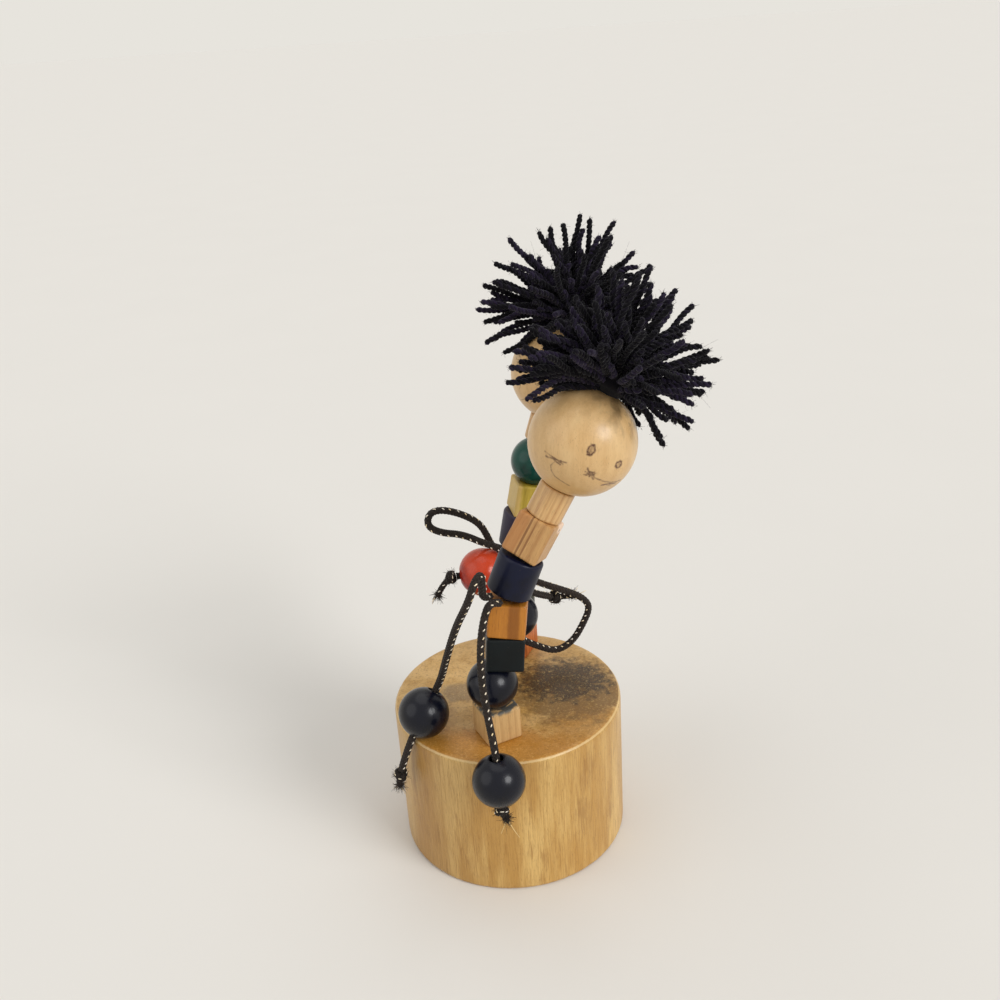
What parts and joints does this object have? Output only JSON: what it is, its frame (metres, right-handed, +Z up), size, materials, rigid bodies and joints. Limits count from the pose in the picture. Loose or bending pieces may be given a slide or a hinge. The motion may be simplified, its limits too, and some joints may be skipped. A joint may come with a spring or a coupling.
{
  "type": "push puppet",
  "caption": "Wooden push puppet: two strung figures of blocks and beads with yarn hair lean when the button under their drum is pressed.",
  "frame": {"origin": "centre of the drum's underside, on the surface that the toy stands on", "axes": "+Z up; the front figure stands towards -Y and the back one towards +Y; both lean towards +X, at 18 degrees to it"},
  "size_m": [0.0681, 0.0771, 0.1269],
  "materials": {
    "drum_wood": "satin varnish over lengthwise grain, end grain on top",
    "spring_steel": "bright drawn wire",
    "pale_wood": "worn, nearly raw",
    "elastic_cord": "fabric-covered elastic",
    "orange_wood": "stained, worn edges",
    "button_wood": "plain sanded wood",
    "navy_gloss": "gloss paint",
    "dark_block": "worn dark paint",
    "amber_wood": "stained, worn edges",
    "brown_wood": "stained, worn edges",
    "neck_wood": "plain varnished wood",
    "head_wood": "varnished, hand-drawn marker face on the front head",
    "hair_yarn": "twisted fuzzy yarn",
    "olive_gloss": "satin paint",
    "hidden_bead_navy": "gloss paint",
    "arm_cord": "braided cord with light and gold flecks",
    "grey_navy": "worn satin paint",
    "yellow_wood": "worn paint",
    "teal_gloss": "gloss paint",
    "red_gloss": "gloss paint"
  },
  "bodies": {
    "drum": {"drum": "drum_wood", "return_spring": "spring_steel", "front_foot_block": "pale_wood", "front_cord_in_foot_block": "elastic_cord", "back_foot_block": "orange_wood", "back_cord_in_foot_block": "elastic_cord"},
    "thumb_button": {"thumb_button": "button_wood", "front_cord_in_drum": "elastic_cord", "back_cord_in_drum": "elastic_cord"},
    "front_legs": {"front_hip_bead": "navy_gloss", "front_cord_in_hip_bead": "elastic_cord", "front_lower_block": "dark_block", "front_cord_in_lower_block": "elastic_cord"},
    "front_torso": {"front_upper_block": "amber_wood", "front_cord_in_upper_block": "elastic_cord", "front_body_roller": "navy_gloss", "front_cord_in_body_roller": "elastic_cord", "front_chest_block": "brown_wood", "front_cord_in_chest_block": "elastic_cord"},
    "front_neck": {"front_neck": "neck_wood", "front_cord_in_neck": "elastic_cord"},
    "front_head": {"front_head": "head_wood", "front_cord_in_head": "elastic_cord", "front_hair": "hair_yarn"},
    "back_legs": {"back_leg_roller": "olive_gloss", "back_cord_in_leg_roller": "elastic_cord", "back_hip_bead": "hidden_bead_navy", "back_cord_in_hip_bead": "elastic_cord", "back_shoulder_loop": "arm_cord", "back_body_roller": "grey_navy", "back_cord_in_body_roller": "elastic_cord"},
    "back_torso": {"back_chest_block": "yellow_wood", "back_cord_in_chest_block": "elastic_cord", "back_collar_bead": "teal_gloss", "back_cord_in_collar_bead": "elastic_cord", "back_neck": "neck_wood", "back_cord_in_neck": "elastic_cord"},
    "back_head": {"back_head": "head_wood", "back_cord_in_head": "elastic_cord", "back_hair": "hair_yarn"},
    "front_left_arm": {"front_left_arm_cord": "arm_cord", "front_left_arm_hand": "navy_gloss", "front_left_arm_knot": "arm_cord"},
    "front_right_arm": {"front_right_arm_cord": "arm_cord", "front_right_arm_hand": "navy_gloss", "front_right_arm_knot": "arm_cord"},
    "back_left_arm": {"back_left_arm_cord": "arm_cord", "back_left_arm_hand": "red_gloss", "back_left_arm_knot": "arm_cord"},
    "back_right_arm": {"back_right_arm_cord": "arm_cord", "back_right_arm_hand": "navy_gloss", "back_right_arm_knot": "arm_cord"}
  },
  "joints": [
    {"name": "button_push", "type": "slide", "parent": "drum", "child": "thumb_button", "axis": [0, 0, 1], "range_m": [0, 0.005], "stiffness_N_per_m": 400, "springref_m": -0.006, "deforming": ["return_spring"]},
    {"name": "front_legs_lean", "type": "hinge", "parent": "drum", "child": "front_legs", "pos_m": [-0.00038, -0.01422, 0.0438], "axis": [-0.309, 0.9511, 0], "range_deg": [0, 6]},
    {"name": "front_torso_lean", "type": "hinge", "parent": "front_legs", "child": "front_torso", "pos_m": [0.00674, -0.01191, 0.05499], "axis": [-0.309, 0.9511, 0], "range_deg": [0, 8]},
    {"name": "front_neck_lean", "type": "hinge", "parent": "front_torso", "child": "front_neck", "pos_m": [0.01378, -0.00962, 0.07685], "axis": [-0.309, 0.9511, 0], "range_deg": [0, 10]},
    {"name": "front_head_turn", "type": "hinge", "parent": "front_neck", "child": "front_head", "pos_m": [0.0185, -0.00809, 0.09246], "axis": [0.4755, 0.1545, 0.866], "range_deg": [-10, 10]},
    {"name": "back_legs_lean", "type": "hinge", "parent": "drum", "child": "back_legs", "pos_m": [0.00419, 0.01886, 0.0392], "axis": [-0.309, 0.9511, 0], "range_deg": [0, 5]},
    {"name": "back_torso_lean", "type": "hinge", "parent": "back_legs", "child": "back_torso", "pos_m": [0.00729, 0.01987, 0.06495], "axis": [-0.309, 0.9511, 0], "range_deg": [0, 8]},
    {"name": "back_head_turn", "type": "hinge", "parent": "back_torso", "child": "back_head", "pos_m": [0.01188, 0.02136, 0.09612], "axis": [0.2939, 0.0955, 0.9511], "range_deg": [-10, 10]},
    {"name": "front_left_arm_swing", "type": "hinge", "parent": "front_torso", "child": "front_left_arm", "pos_m": [0.00075, -0.01543, 0.0642], "axis": [0, 0, 1], "range_deg": [0, 12]},
    {"name": "front_right_arm_swing", "type": "hinge", "parent": "front_torso", "child": "front_right_arm", "pos_m": [0.00279, -0.0175, 0.064], "axis": [-0.9511, -0.309, 0], "range_deg": [0, 8]},
    {"name": "back_left_arm_swing", "type": "hinge", "parent": "back_legs", "child": "back_left_arm", "pos_m": [-0.00121, 0.01605, 0.0578], "axis": [0, 0, -1], "range_deg": [0, 15]},
    {"name": "back_right_arm_swing", "type": "hinge", "parent": "back_legs", "child": "back_right_arm", "pos_m": [0.00118, 0.01452, 0.0574], "axis": [0, 0, 1], "range_deg": [0, 15]}
  ],
  "couplings": [
    {"joint": "front_legs_lean", "follows": "button_push", "rad_per_m": 20.839},
    {"joint": "front_torso_lean", "follows": "button_push", "rad_per_m": 27.785},
    {"joint": "front_neck_lean", "follows": "button_push", "rad_per_m": 34.732},
    {"joint": "back_legs_lean", "follows": "button_push", "rad_per_m": 17.366},
    {"joint": "back_torso_lean", "follows": "button_push", "rad_per_m": 27.785}
  ]
}
